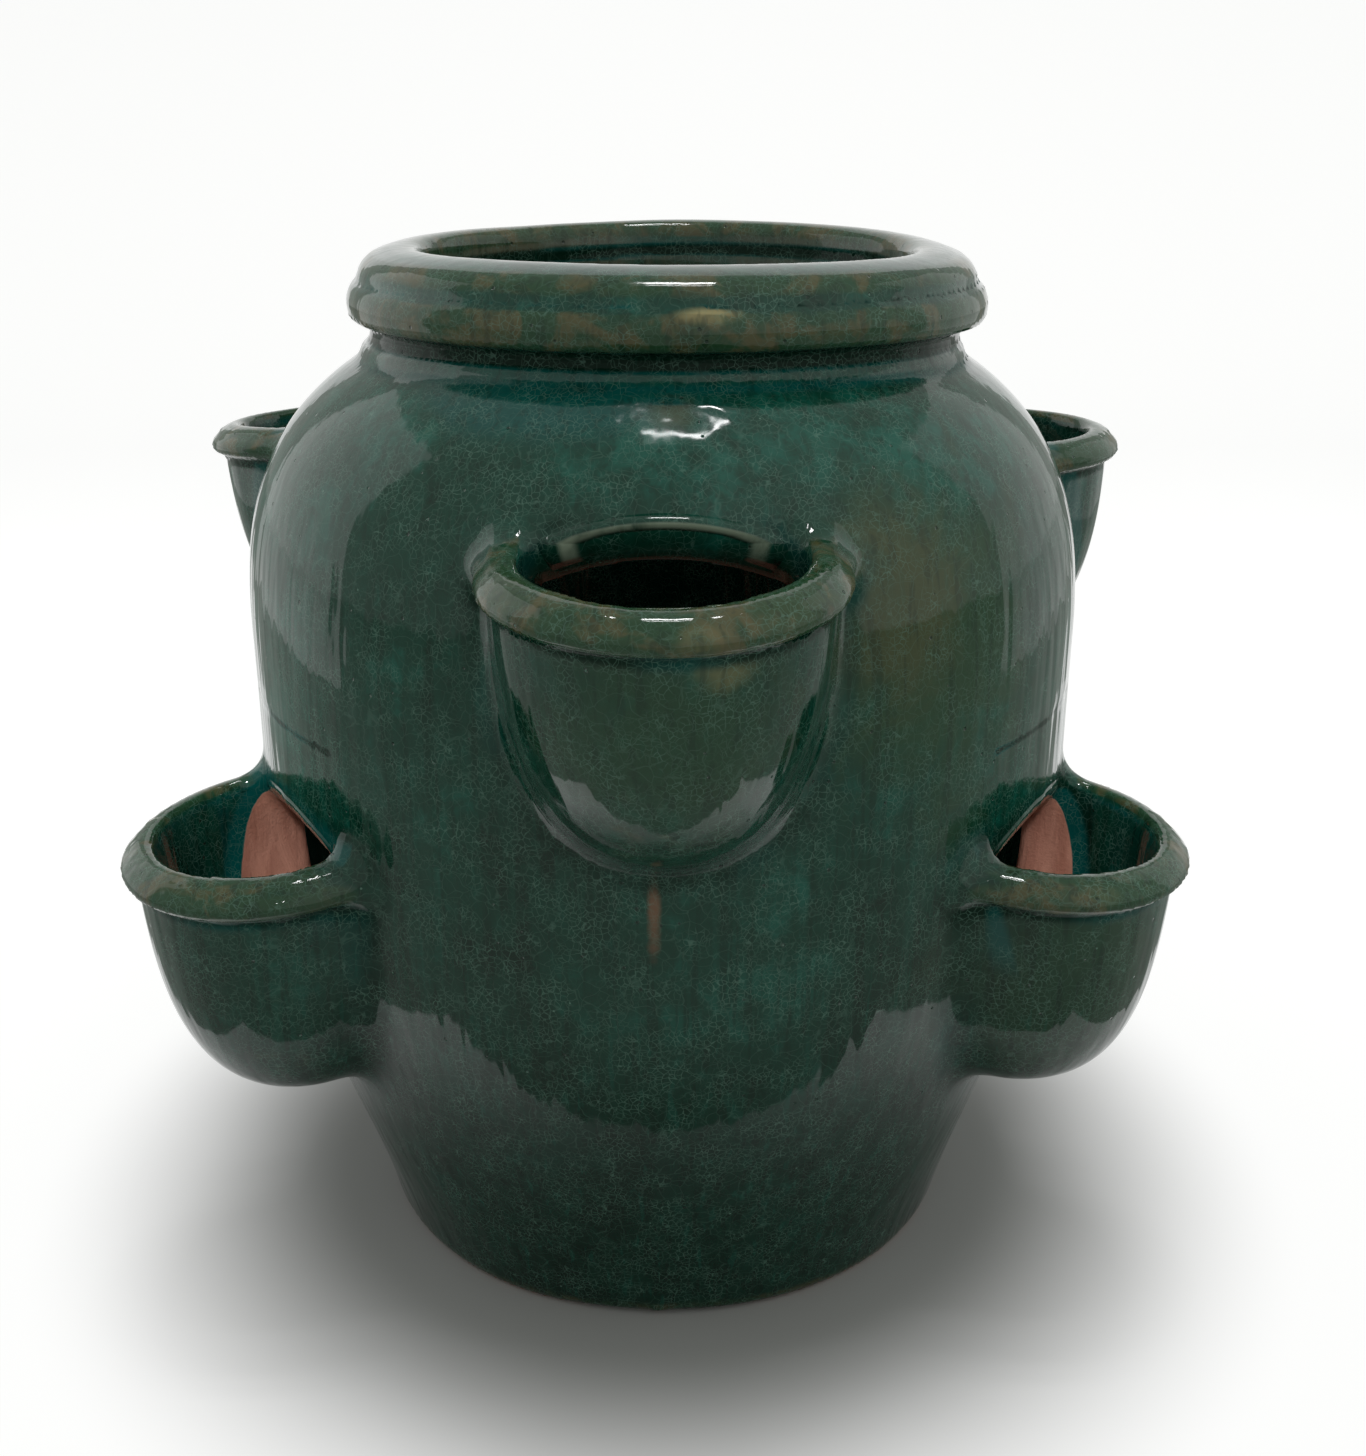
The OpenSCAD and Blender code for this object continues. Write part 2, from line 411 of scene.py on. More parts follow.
def spread(coarse_count, axis, size):
    """Weights that draw a coarse row of numbers, size apart, out to a fine axis smoothly."""
    place = (axis - axis[0])/size + 1
    i = place.astype(int)
    t = (place - i)[:, None]
    weights = np.concatenate([(1 - t)**3, 3*t**3 - 6*t**2 + 4,
                              -3*t**3 + 3*t**2 + 3*t + 1, t**3], axis=1)/6
    matrix = np.zeros((len(axis), coarse_count), dtype=np.float32)
    rows = np.arange(len(axis))
    for k in range(4):
        matrix[rows, i - 1 + k] = weights[:, k]
    return matrix


def lumps(sizes):
    """Smooth noise about as wide as sizes, in x, y and z, with a spread of about 1."""
    matrices = [spread(int((a[-1] - a[0])/s) + 5, a, s) for a, s in zip(AXES, sizes)]
    coarse = random.standard_normal([m.shape[1] for m in matrices]).astype(np.float32)
    fine = np.tensordot(matrices[2], coarse, axes=(1, 2))
    fine = np.tensordot(matrices[1], fine, axes=(1, 2))
    fine = np.tensordot(matrices[0], fine, axes=(1, 2))
    return fine*LUMP_HEIGHT


# %% Put the jar together
X, Y, Z = np.meshgrid(*AXES, indexing="ij", sparse=True)
R = np.hypot(X, Y)
WAVE, RIPPLE, FINE_RIPPLE = 0.55, 0.30, 0.03
CALM, CALM_FROM, CALM_OVER = 0.7, 235, 20
wave = WAVE*lumps((60, 60, 60))
calm = 1 - CALM*np.clip((Z - CALM_FROM)/CALM_OVER, 0, 1)
ripple = RIPPLE*calm*lumps((25, 25, 34)) + FINE_RIPPLE*lumps((9, 9, 30))

# The jar is a little wavy in height, and its rim is shifted to one side and tilted.
WAVE_UP, RIM_SHIFT, RIM_TILT, RIM_EASE = 1.2, 1.5, 0.027, 10
in_rim = np.clip((Z - shoulder_z)/RIM_EASE, 0, 1)
jar = jar_table(np.hypot(X - RIM_SHIFT*in_rim, Y), Z + wave*WAVE_UP - RIM_TILT*Y*in_rim)
hollow = hollow_table(R + 0*Z, Z + 0*R)
print("field of the bare jar made")

# %% A pocket's own part of the grid
POCKET_REACH, POCKET_PAST, POCKET_UP = 1.6*bowl_r, 30, 5


def pocket_grid(name):
    """The slice of the grid that a pocket can reach, and the pocket's own axes there."""
    turn, lip_z = math.radians(POCKETS[name][0]), POCKETS[name][1]
    middle = np.array([pocket_axis_r*math.sin(turn), -pocket_axis_r*math.cos(turn),
                       lip_z - bowl_depth/2 + POCKET_UP])
    half = np.array([POCKET_REACH, POCKET_REACH, bowl_depth/2 + POCKET_PAST])
    part = tuple(slice(*np.searchsorted(a, (m - h, m + h)))
                 for a, m, h in zip(AXES, middle, half))
    return part, pocket_axes(name, X[part[0]], Y[:, part[1]], Z[:, :, part[2]])


# %% Add the six pockets: a bowl with its lip, a window, and a brow over the window's arch
ROOT_FLOW, BROW_FLOW, SPACE_FLOW = 10, 2.5, 4
BOWL_SOFT, OPENING_SOFT, REVEAL_SOFT = 6, 2, 4
ARCH_DROP, SOFFIT = 3.0, 1.0
BROW_OUT, BROW_R, BROW_FROM = 2.0, 2.0, 1
OPENING_IN, OPENING_HALF = 20, 28

solid, space = jar.copy(), hollow.copy()
for name in POCKETS:
    part, (side, out, up, flat_out, flat_up) = pocket_grid(name)
    around = np.hypot(side, out)
    table = low_pocket_table if name.startswith("lower") else pocket_table
    pocket = table(around, up + wave[part])
    solid[part] = join(solid[part], pocket, ROOT_FLOW)
    bowl_space = cut(pocket_hollow_table(around, up), jar[part], BOWL_SOFT)
    drop = ARCH_DROP + SOFFIT*np.clip(-jar[part], 0, wall_t)
    opening = window_shape(side, flat_up, drop) + 0*flat_out
    brow = np.hypot(opening - BROW_OUT, jar[part]) - BROW_R
    brow = np.maximum(brow, BROW_FROM - flat_up)
    solid[part] = join(solid[part], brow, BROW_FLOW)
    through = np.abs(flat_out + 0*opening + OPENING_IN) - OPENING_HALF
    opening = meet(opening, through, OPENING_SOFT)
    here = join(bowl_space, opening, REVEAL_SOFT)
    space[part] = join(space[part], here, SPACE_FLOW)
print("pockets joined:", len(POCKETS))

# %% The low ridge where the two half shells meet, and the whole of the clay
SEAM_HEIGHT, SEAM_HALF_W, SEAM_X, SEAM_SWAY, SEAM_WAVE = 0.55, 2.2, -3, 1.5, 23.0
SEAM_TOP, SEAM_FADE, SEAM_FROM_R = 175, 60, 80
EDGE_SOFT = 2.2
seam_x = X - SEAM_SWAY*np.sin(Z/SEAM_WAVE) - SEAM_X
seam = SEAM_HEIGHT*np.exp(-(seam_x/SEAM_HALF_W)**2)
seam = seam*np.clip((SEAM_TOP - Z)/SEAM_FADE, 0, 1)*(R > SEAM_FROM_R)
clay = cut(solid + ripple - seam, space, EDGE_SOFT)
print("field of the whole jar made:", clay.shape)

# %% Drain hole
DRAIN_R, DRAIN_SOFT = 11, 2
clay = cut(clay, np.maximum(R - DRAIN_R, np.abs(Z) - 2*floor_top), DRAIN_SOFT)

# %% Skin the field
BAND = 3*VOXEL


def skin(field):
    """Corner points in millimetres and four-sided faces of the field's zero surface."""
    grid = openvdb.FloatGrid(BAND)
    grid.copyFromArray(np.clip(field, -BAND, BAND))
    points, quads = grid.convertToQuads(isovalue=0.0)
    return points*VOXEL + grid_low.astype(np.float32), quads


skin_points, skin_quads = skin(clay)
print("skin:", len(skin_points), "points,", len(skin_quads), "faces")

# %% Read a field at any points


def read(field, points):
    """Value of a field at points in millimetres, blended between its eight neighbours."""
    place = (points - grid_low)/VOXEL
    place = np.clip(place, 0, np.array(field.shape) - 1.001)
    i = place.astype(np.int64)
    t = (place - i).astype(np.float32)
    flat = field.ravel()
    step_x, step_y = field.shape[1]*field.shape[2], field.shape[2]
    k = i[:, 0]*step_x + i[:, 1]*step_y + i[:, 2]
    total = 0
    for dx, dy, dz in np.ndindex(2, 2, 2):
        weight = np.abs(1 - dx - t[:, 0])*np.abs(1 - dy - t[:, 1])*np.abs(1 - dz - t[:, 2])
        total = total + weight*flat[k + dx*step_x + dy*step_y + dz]
    return total


def slope(field, points, reach=0.8):
    """Direction in which a field grows fastest, which on the clay is the outward normal."""
    parts = []
    for axis in np.eye(3)*reach*VOXEL:
        parts.append(read(field, points + axis) - read(field, points - axis))
    parts = np.stack(parts, axis=1)
    return parts/np.maximum(np.linalg.norm(parts, axis=1), 1e-9)[:, None]


for _ in range(2):
    skin_points = skin_points - read(clay, skin_points)[:, None]*slope(clay, skin_points)

# %% [markdown]
# ## Cutting the skin into the potter's pieces
#
# The skin is one closed mesh. Each piece is what lies in that piece's zone, and the zones
# are fields too: a fat ring round each lip, a band round each root, and so on. A boolean
# gives both sides of a cut the same edge, so there is no gap. The new faces lie inside the
# clay, where nobody sees them. The order of cutting says which piece keeps a shared place.

# %% Zones of the pockets' pieces
LIP_REACH, LIP_UNDER, LIP_SLOPE = 10.5, 5.2, 0.45
COIL_IN, COIL_OUT, COIL_ABOVE, COIL_BELOW = 9, 8, 9, 15
COIL_SKIN, WALL_SKIN, BOWL_SKIN, BOWL_ABOVE = 2, 2, 4, 6


def near_pockets(form):
    """A field that is form(around, up, wall) round each pocket and far outside elsewhere."""
    field = np.full(clay.shape, 4*BAND, dtype=np.float32)
    for name in POCKETS:
        part, (side, out, up, flat_out, flat_up) = pocket_grid(name)
        around = np.hypot(side, out)
        field[part] = np.minimum(field[part], form(around, up, jar[part]))
    return field


def solid_bowl(r, z):
    """Field of a bowl without its lip, run straight on up."""
    return outline_distance(bowl_outline(bowl_r, bowl_depth, OPEN_TOP), r, z)


bowl_table = Table(solid_bowl, pocket_r, pocket_z)


def lip_zone(around, up, wall):
    """A fat ring round the lip, down to the hollow under its roll."""
    ring = np.hypot(around - lip_ring_r, up) - LIP_REACH
    under = -(up + LIP_UNDER + LIP_SLOPE*(around - bowl_r))
    return np.maximum(np.maximum(ring, under), -(wall + WALL_SKIN))


def coil_zone(around, up, wall):
    """A band round the root: near the wall, and outside the bowl."""
    bowl = bowl_table(around, up)
    band = np.maximum(bowl - COIL_IN, -(bowl + COIL_SKIN))
    height = np.maximum(up - COIL_ABOVE, -up - bowl_depth - COIL_BELOW)
    near_wall = np.maximum(wall - COIL_OUT, -(wall + WALL_SKIN))
    return np.maximum(np.maximum(band, height), near_wall)


def bowl_zone(around, up, wall):
    """All of the bowl that the lip and the coil have left."""
    bowl = bowl_table(around, up) - BOWL_SKIN
    return np.maximum(np.maximum(bowl, up - BOWL_ABOVE), -(wall + WALL_SKIN))


# %% Zones of the jar's pieces
RIM_SEAT, RIM_SEAT_SLOPE, NECK_SEAT, WITHIN_MOUTH = 1.2, 0.28, 0.4, 50
rim_seat_z = rim_bottom + RIM_SEAT
off_axis = WITHIN_MOUTH - R
rim_zone = np.maximum(rim_seat_z + RIM_SEAT_SLOPE*(neck_r - R) - Z, off_axis)
neck_zone = np.maximum(shoulder_z - NECK_SEAT - Z, off_axis)
base_zone = Z - floor_top + 0*R
left_zone = X + 0*R + 0*Z
print("zones of the jar's pieces:", rim_zone.shape)

# %% Meshes in and out of Blender


def new_object(name, points, faces):
    """A Blender object with a mesh of millimetre points and faces of three or four corners."""
    mesh = bpy.data.meshes.new(name)
    mesh.vertices.add(len(points))
    mesh.vertices.foreach_set("co", (points*MM).astype(np.float32).ravel())
    corners = faces.shape[1]
    mesh.loops.add(faces.size)
    mesh.loops.foreach_set("vertex_index", faces.astype(np.int32).ravel())
    mesh.polygons.add(len(faces))
    mesh.polygons.foreach_set("loop_start", np.arange(0, faces.size, corners, dtype=np.int32))
    mesh.update(calc_edges=True)
    piece = bpy.data.objects.new(name, mesh)
    bpy.context.collection.objects.link(piece)
    return piece


def arrays(mesh):
    """Corner points, corner indices and face sizes of a mesh, as arrays."""
    points = np.empty(3*len(mesh.vertices), dtype=np.float32)
    mesh.vertices.foreach_get("co", points)
    corner = np.empty(len(mesh.loops), dtype=np.int32)
    mesh.loops.foreach_get("vertex_index", corner)
    sizes = np.empty(len(mesh.polygons), dtype=np.int32)
    mesh.polygons.foreach_get("loop_total", sizes)
    return points.reshape(-1, 3), corner, sizes


def carve(whole, cutter, how):
    """What is left of a mesh after a boolean with a cutter, as a new mesh."""
    step = whole.modifiers.new("cut", "BOOLEAN")
    step.object, step.operation, step.solver = cutter, how, "MANIFOLD"
    graph = bpy.context.evaluated_depsgraph_get()
    mesh = bpy.data.meshes.new_from_object(whole.evaluated_get(graph))
    whole.modifiers.remove(step)
    return mesh


def take(whole, zone, name):
    """Cuts a zone out of whole, and gives what was cut out back as a new object."""
    padded = np.maximum(zone, -BAND)
    for axis in range(3):
        ends = [slice(None)]*3
        for end in (0, -1):
            ends[axis] = end
            padded[tuple(ends)] = BAND
    points, quads = skin(padded)
    cutter = new_object("cutter", points, quads)
    piece = bpy.data.objects.new(name, carve(whole, cutter, "INTERSECT"))
    bpy.context.collection.objects.link(piece)
    whole.data = carve(whole, cutter, "DIFFERENCE")
    bpy.data.objects.remove(cutter)
    print(f"{name}: {len(piece.data.polygons)} faces, left {len(whole.data.polygons)}")
    return piece


# %% Cut, in this order
whole = new_object("whole", skin_points, skin_quads)
groups = {
    "lip": take(whole, near_pockets(lip_zone), "lips"),
    "coil": take(whole, near_pockets(coil_zone), "coils"),
    "bowl": take(whole, near_pockets(bowl_zone), "bowls"),
}
rim = take(whole, rim_zone, "rim_roll")
neck = take(whole, neck_zone, "neck_collar")
base = take(whole, base_zone, "base_slab")
left = take(whole, left_zone, "wall_left")
whole.name = "wall_right"

print("pieces cut")

# %% [markdown]
# ## How glaze sits on the clay
#
# Molten glaze creeps away from outward corners and gathers in hollows. Where it is thin the
# iron in it shows olive brown, and where it is deep it turns teal. So the colour follows the
# shape, and the field already knows the shape: blur it, and it grows on a ridge and shrinks
# in a hollow. That difference is stored at each corner point for the material to read.

# %% Curl of the surface: above zero on a ridge, below zero in a hollow
CURL_SPREAD = 2.9


def smear(field, width):
    """Blurs a field over about width millimetres to each side."""
    for _ in range(max(1, round(2*(width/VOXEL)**2))):
        for axis in range(3):
            ahead = np.roll(field, -1, axis)
            behind = np.roll(field, 1, axis)
            field = 0.5*field + 0.25*(ahead + behind)
    return field


outer_curl = smear(solid, CURL_SPREAD) - solid
inner_curl = space - smear(space, CURL_SPREAD)
print("curl from", float(outer_curl.min()), "to", float(outer_curl.max()))

# %% Curl and edge at the corner points of a piece
EDGE_REACH = 3.0
WALL_FACING, FACING_FADE = -0.85, 0.3


def curl_and_edge(points):
    """Curl of the outer or inner skin at points, and how near they are to a rounded edge.

    Where the two skins run side by side, as they do in a plain wall, there is no edge.
    """
    facing = np.einsum("ij,ij->i", slope(solid, points), slope(space, points))
    real_edge = np.clip((facing - WALL_FACING)/FACING_FADE, 0, 1)
    to_outer, to_inner = np.abs(read(solid, points)), np.abs(read(space, points))
    inner = np.clip((to_outer - to_inner)/EDGE_REACH + 0.5, 0, 1)*real_edge
    curl = (1 - inner)*read(outer_curl, points) + inner*read(inner_curl, points)
    edge = np.clip(1 - np.maximum(to_outer, to_inner)/EDGE_REACH, 0, 1)*real_edge
    return curl, edge


# %% Where the clay was left bare, and where the window arches are, in millimetres
FAR = 50.0
GLAZED_HALF_W, BORDER_IN, BORDER_DOWN = 15, 11, 14
OFF_BOWL, OFF_WALL, ARCH_FROM = 6, 8, 2


def bare_side(points):
    """Below 0 on the bare clay at the sides of each window, above 0 elsewhere."""
    nearest = np.full(len(points), FAR)
    for name in POCKETS:
        if name == "upper_front":
            continue
        side, out, up, flat_out, flat_up = pocket_axes(name, *points.T)
        border = BORDER_IN*np.sqrt(np.clip(-up - 1, 0, None)/BORDER_DOWN) - BORDER_IN
        in_bowl = 4*(pocket_hollow_table(np.hypot(side, out), up) - OFF_BOWL)
        near_middle = GLAZED_HALF_W - np.abs(side)
        here = np.maximum.reduce([out - border, near_middle, up + 1, in_bowl])
        nearest = np.minimum(nearest, here)
    return nearest


def arch_distance(points):
    """How far a point lies outside the nearest window arch."""
    nearest = np.full(len(points), FAR)
    for name in POCKETS:
        side, out, up, flat_out, flat_up = pocket_axes(name, *points.T)
        off_wall = np.abs(flat_out + side**2/(2*belly_r) + 2)
        here = window_shape(side, flat_up, ARCH_DROP) + np.clip(ARCH_FROM - flat_up, 0, FAR)
        here = here + 2*np.clip(off_wall - OFF_WALL, 0, FAR)
        nearest = np.minimum(nearest, here)
    return nearest


# %% Dress a piece: smooth normals where it is skin, flat ones where it was cut
ON_SKIN, SKIN_AGREES = 0.25*VOXEL, 0.55
CRISP_CURL, CRISP_FROM, SOFT_REACH = 0.3, 0.6, 2.4
BARE_BELOW, BARE_FADE, BARE_PAST = 60, 4, 60


def corner_normals(mesh, points, corner, sizes, outward):
    """A normal for each corner of each face: outward on the skin, the face's own on a cut."""
    flat = np.empty(3*len(sizes), dtype=np.float32)
    mesh.polygons.foreach_get("normal", flat)
    face = np.repeat(np.arange(len(sizes)), sizes)
    flat = flat.reshape(-1, 3)[face]
    agrees = np.einsum("ij,ij->i", flat, outward[corner]) > SKIN_AGREES
    agrees &= (np.abs(read(clay, points)) < ON_SKIN)[corner]
    skin_face = np.bincount(face, ~agrees, len(sizes)) == 0
    return np.where(skin_face[face][:, None], outward[corner], flat)


def dress(piece, material):
    """Gives a cut piece its normals, what the material reads, and the material."""
    mesh = piece.data
    points, corner, sizes = arrays(mesh)
    points = points/MM
    curl, edge = curl_and_edge(points)
    crisp = np.clip(np.abs(curl)/CRISP_CURL + edge - CRISP_FROM, 0, 1)[:, None]
    outward = crisp*slope(clay, points) + (1 - crisp)*slope(clay, points, SOFT_REACH)
    normals = corner_normals(mesh, points, corner, sizes, outward)
    mesh.shade_smooth()
    mesh.normals_split_custom_set(normals)
    inside = read(hollow, points)
    above_bare = np.clip((points[:, 2] - BARE_BELOW)/BARE_FADE, 0, BARE_PAST)
    unglazed = np.minimum(inside + above_bare, bare_side(points))
    for name, values in (("curl", curl), ("edge", edge), ("inside", inside),
                         ("unglazed", unglazed), ("arch", arch_distance(points))):
        attribute = mesh.attributes.new(name, "FLOAT", "POINT")
        attribute.data.foreach_set("value", np.ascontiguousarray(values, dtype=np.float32))
    mesh.materials.clear()
    mesh.materials.append(material)


# %% Part the groups into one piece for each pocket


def part_of(mesh, keep, name):
    """A new object with only the faces of mesh that keep says."""
    points, corner, sizes = arrays(mesh)
    corner = corner[np.repeat(keep, sizes)]
    sizes = sizes[keep]
    used, corner = np.unique(corner, return_inverse=True)
    part = bpy.data.meshes.new(name)
    part.vertices.add(len(used))
    part.vertices.foreach_set("co", points[used].ravel())
    part.loops.add(len(corner))
    part.loops.foreach_set("vertex_index", corner.astype(np.int32))
    part.polygons.add(len(sizes))
    starts = np.concatenate([[0], np.cumsum(sizes)[:-1]]).astype(np.int32)
    part.polygons.foreach_set("loop_start", starts)
    part.update(calc_edges=True)
    piece = bpy.data.objects.new(name, part)
    bpy.context.collection.objects.link(piece)
    return piece


def part_group(group, kind):
    """Parts a group of six like pieces, by the pocket that each face is nearest to."""
    mesh = group.data
    middles = np.empty(3*len(mesh.polygons), dtype=np.float32)
    mesh.polygons.foreach_get("center", middles)
    middles = middles.reshape(-1, 3)/MM
    spots = []
    for turn, lip_z, tilt in POCKETS.values():
        turn = math.radians(turn)
        spots.append((pocket_axis_r*math.sin(turn), -pocket_axis_r*math.cos(turn),
                      lip_z - bowl_depth/3))
    nearest = np.argmin([np.linalg.norm(middles - spot, axis=1) for spot in spots], axis=0)
    parts = {f"{kind}_{name}": part_of(mesh, nearest == i, f"clay_{kind}_{name}")
             for i, name in enumerate(POCKETS)}
    bpy.data.objects.remove(group)
    return parts


pieces = {"rim_roll": rim, "neck_collar": neck, "base_slab": base,
          "wall_left": left, "wall_right": whole}
for kind, group in groups.items():
    pieces.update(part_group(group, kind))
print("pieces:", len(pieces))

# %% [markdown]
# ## The glaze
#
# Node materials are wired here by a small helper, so that each layer of the glaze reads as a
# few lines. All textures are laid out in millimetres in the jar's own space, so they run on from
# piece to piece and keep their true scale.

# %% A helper to wire materials


class Recipe:
    """A node material that is built up one call at a time."""

    def __init__(self, name):
        self.material = bpy.data.materials.new(name)
        self.material.use_nodes = True
        self.tree = self.material.node_tree
        self.tree.nodes.clear()
        place = self.add("ShaderNodeTexCoord").outputs["Object"]
        self.mm = self.add("ShaderNodeVectorMath", [place, (1000, 1000, 1000)],
                           operation="MULTIPLY").outputs[0]

    def add(self, kind, inputs=(), **settings):
        """Adds a node, sets its settings, and links or sets its inputs."""
        node = self.tree.nodes.new(kind)
        for key, value in settings.items():
            setattr(node, key, value)
        pairs = inputs.items() if isinstance(inputs, dict) else enumerate(inputs)
        for key, value in pairs:
            if isinstance(value, bpy.types.NodeSocket):
                self.tree.links.new(value, node.inputs[key])
            elif value is not None:
                node.inputs[key].default_value = value
        return node

    def math(self, how, a, b=0.0):
        """One sum with the numbers a and b."""
        return self.add("ShaderNodeMath", [a, b], operation=how).outputs[0]

    def times(self, value, amount):
        """One number times another."""
        return self.math("MULTIPLY", value, amount)

    def total(self, first, *others):
        """Sum of two or more numbers."""
        for other in others:
            first = self.math("ADD", first, other)
        return first

    def swing(self, noise, amount):
        """Noise as a number that swings about 0, by up to half of amount each way."""
        return self.times(self.math("SUBTRACT", noise, 0.5), amount)

    def step(self, value, low, high):
        """0 where value is below low, 1 above high, and smooth between. low may be the larger."""
        return self.add("ShaderNodeMapRange", [value, low, high, 0.0, 1.0],
                        interpolation_type="SMOOTHSTEP").outputs[0]

    def stretched(self, sizes):
        """Place in the jar, measured in units of sizes, in millimetres."""
        return self.add("ShaderNodeVectorMath", [self.mm, tuple(1/s for s in sizes)],
                        operation="MULTIPLY").outputs[0]

    def noise(self, sizes, detail=2.0, rough=0.5, warp=0.0):
        """Cloudy noise, 0 to 1, with features about as wide as sizes."""
        sizes = sizes if isinstance(sizes, tuple) else (sizes,)*3
        return self.add("ShaderNodeTexNoise",
                        {"Vector": self.stretched(sizes), "Scale": 1.0, "Detail": detail,
                         "Roughness": rough, "Distortion": warp}).outputs["Fac"]

    def cells(self, size, feature, warp=0.0, output="Distance"):
        """Voronoi cells about as wide as size, with their borders bent by warp."""
        place = self.stretched((size,)*3)
        if warp:
            bend = self.add("ShaderNodeTexNoise", {"Vector": place, "Scale": 0.7,
                                                   "Detail": 1.0}).outputs["Color"]
            bend = self.add("ShaderNodeVectorMath", [bend, (warp,)*3],
                            operation="MULTIPLY").outputs[0]
            place = self.add("ShaderNodeVectorMath", [place, bend], operation="ADD").outputs[0]
        return self.add("ShaderNodeTexVoronoi", {"Vector": place, "Scale": 1.0},
                        feature=feature).outputs[output]

    def mix(self, factor, a, b):
        """Colour a where factor is 0, colour b where it is 1."""
        node = self.add("ShaderNodeMix", data_type="RGBA")
        for socket, value in ((node.inputs[0], factor), (node.inputs[6], a), (node.inputs[7], b)):
            if isinstance(value, bpy.types.NodeSocket):
                self.tree.links.new(value, socket)
            else:
                socket.default_value = (*value, 1)
        return node.outputs[2]

    def stain(self, place, amount, colour, tint):
        """Colour, with a tint over it where place is 1, as strong as amount."""
        return self.mix(self.times(place, amount), colour, tint)

    def blend(self, factor, a, b):
        """Number a where factor is 0, number b where it is 1."""
        return self.add("ShaderNodeMapRange", [factor, 0.0, 1.0, a, b]).outputs[0]

    def attribute(self, name):
        """A number that dress stored at the corner points."""
        return self.add("ShaderNodeAttribute", attribute_name=name).outputs["Fac"]


# %% Colours of the glaze, in linear light
SEA_GREEN = (0.007, 0.108, 0.078)
FOREST = (0.004, 0.050, 0.031)
# NIGHT is a dark green of the glaze, and also the colour of painted shade in creases, inside the
# jar and towards the foot.
NIGHT = (0.002, 0.018, 0.010)
TEAL = (0.002, 0.085, 0.078)
MOSS = (0.024, 0.068, 0.028)
OLIVE = (0.110, 0.096, 0.040)
# OCHRE is an ochre stain, and also the colour of painted warm reflections.
OCHRE = (0.520, 0.430, 0.200)
RUST = (0.240, 0.120, 0.070)
STONE = (0.150, 0.140, 0.095)
CRACK = (0.150, 0.290, 0.230)
# PALE is the arch line, partly thin glaze and partly a painted highlight.
PALE = (0.400, 0.470, 0.360)
CLAY = (0.560, 0.260, 0.185)
CLAY_DARK = (0.420, 0.175, 0.120)

# %% Places on the jar where the glaze came out different, and painted warm reflections: middle and reach in mm, amount
MARKS = [
    ((72, -110, 222), (36, 60, 50), MOSS, 0.85),
    ((62, -120, 236), (18, 40, 30), OLIVE, 0.45),
    ((-30, -100, 284), (46, 60, 9), TEAL, 0.70),
    ((-50, 45, 302), (60, 60, 30), STONE, 0.80),
    ((50, 50, 302), (60, 60, 30), STONE, 0.45),
    ((2, -104, 284), (8, 10, 6), OLIVE, 0.50),
    ((27, -160, 247), (17, 17, 5), OLIVE, 0.90),
    ((-36, -146, 248), (14, 22, 6), STONE, 0.60),
    ((0, -172, 214), (42, 30, 34), MOSS, 0.60),
    ((118, -102, 116), (44, 30, 40), MOSS, 0.60),
    ((14, -172, 236), (8, 14, 6), OCHRE, 0.22),
    # These three are painted warm reflections beside the highlights of the front lip, the rim and
    # the lower right lip.
    ((8, -171, 245), (8, 10, 3), OCHRE, 0.70),
    ((12, -96, 306), (9, 8, 2.0), OCHRE, 0.70),
    ((121, -104, 149), (7, 7, 3), OCHRE, 0.70),
    ((-3, -131, 158), (2.2, 20, 12), RUST, 0.80),
]

# %% What the layers of the finish share


class Finish(Recipe):
    """The recipe of the glazed clay, with the places and noises that its layers share."""

    def __init__(self, name):
        super().__init__(name)
        self.curl, self.edge = self.attribute("curl"), self.attribute("edge")
        self.inside, self.unglazed = self.attribute("inside"), self.attribute("unglazed")
        self.arch = self.attribute("arch")
        self.height = self.add("ShaderNodeSeparateXYZ", [self.mm]).outputs[2]
        self.patches = self.noise(80, 3.0, 0.55, 0.4)
        self.clouds = self.noise(24, 4.0, 0.62, 0.6)
        self.blots = self.noise(8, 4.0, 0.65, 0.8)
        self.grain = self.noise(1.6, 2.0, 0.6)
        # foot grows towards the bottom of the jar under a ragged top; the layers paint shade with
        # it.
        self.foot = self.step(self.total(self.height, self.times(self.patches, 60)), 215.0, 95.0)
        self.deep = self.total(self.curl, self.swing(self.blots, 0.2))
        self.on_wall = self.step(self.inside, 5.5, 7.5)
        self.spot = self.cells(5.5, "F1")
        self.pick = self.add("ShaderNodeSeparateColor", [self.cells(5.5, "F1", 0.0, "Color")])
        self.pit = self.times(self.step(self.spot, 0.11, 0.06),
                              self.step(self.pick.outputs[0], 0.6, 0.62))


# %% [markdown]
# ### The melt
#
# A glaze pours on as one green, and the kiln breaks it up: clouds of light and dark green,
# blots, and runs drawn out by the melt's own weight. Four noises of different width are
# added up, and the sum picks between three greens. Painting it by hand would need a picture
# and seams, and noise in the jar's own space needs neither.

# %% The green melt, places where it came out different, and painted warm reflections


def melt(f):
    """Dark and light green in clouds, blots and runs."""
    runs = f.noise((5.5, 5.5, 60), 3.0, 0.6, 0.3)
    mottle = f.total(f.times(f.patches, 0.30), f.times(f.clouds, 0.30),
                     f.times(f.blots, 0.22), f.times(runs, 0.18))
    # The mottle is a little darker towards the foot, as painted shade.
    mottle = f.math("SUBTRACT", mottle, f.times(f.foot, 0.05))
    colour = f.mix(f.step(mottle, 0.48, 0.62), FOREST, SEA_GREEN)
    return f.stain(f.step(mottle, 0.48, 0.36), 0.85, colour, NIGHT)


